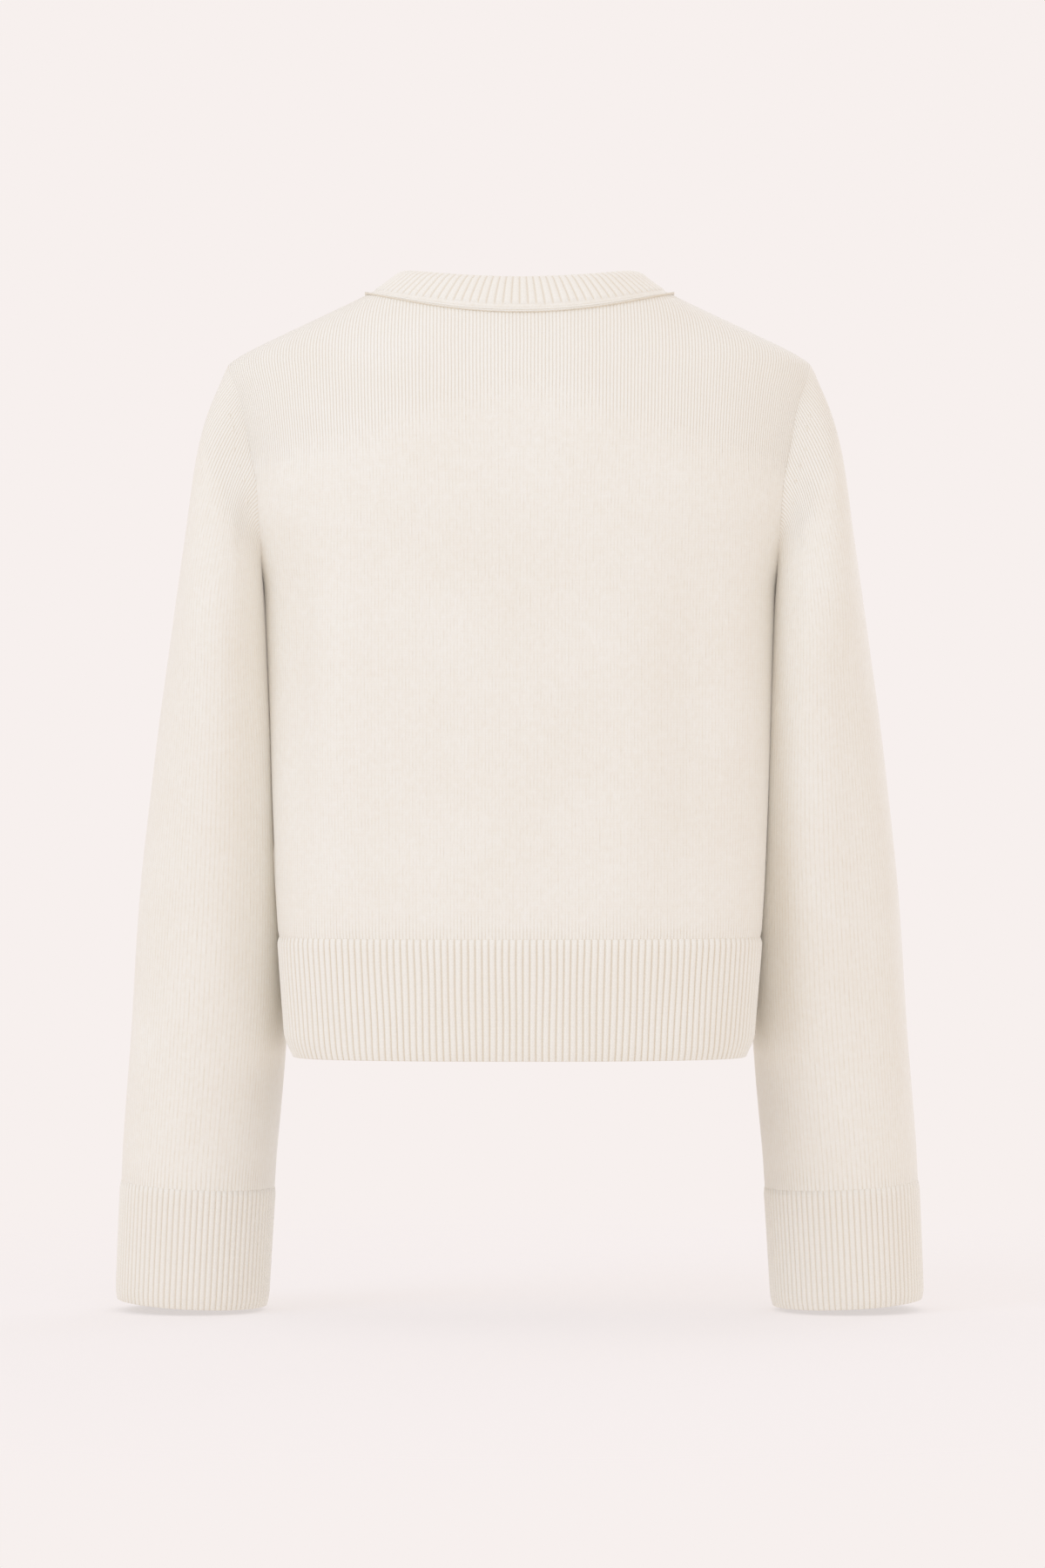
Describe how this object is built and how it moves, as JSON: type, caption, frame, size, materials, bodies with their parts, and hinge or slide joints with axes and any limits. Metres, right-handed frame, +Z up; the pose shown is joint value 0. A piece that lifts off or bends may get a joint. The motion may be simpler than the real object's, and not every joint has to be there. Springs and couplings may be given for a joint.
{
  "type": "cardigan",
  "caption": "Cropped crew-neck knitted cardigan, buttoned, hollow as worn with hanging sleeves, ribbed hem, cuffs, neckband and front bands.",
  "frame": {"origin": "between the wearer's shoulders, at the height of the neck points, in the plane of the side and shoulder seams", "axes": "+Z up, -Y towards the garment's front, +X towards the wearer's left"},
  "size_m": [0.5474, 0.2112, 0.6963],
  "materials": {
    "knit": "soft brushed knit",
    "button": "satin"
  },
  "bodies": {
    "root": {"back": "knit", "front_left": "knit", "front_right": "knit", "sleeve_left": "knit", "sleeve_right": "knit", "hem_back": "knit", "hem_left": "knit", "hem_right": "knit", "cuff_left": "knit", "cuff_right": "knit", "neckband": "knit", "neck_cord": "knit", "band_left": "knit", "band_right": "knit", "button_1": "button", "button_2": "button", "button_3": "button", "button_4": "button", "button_5": "button", "button_6": "button"}
  },
  "joints": []
}
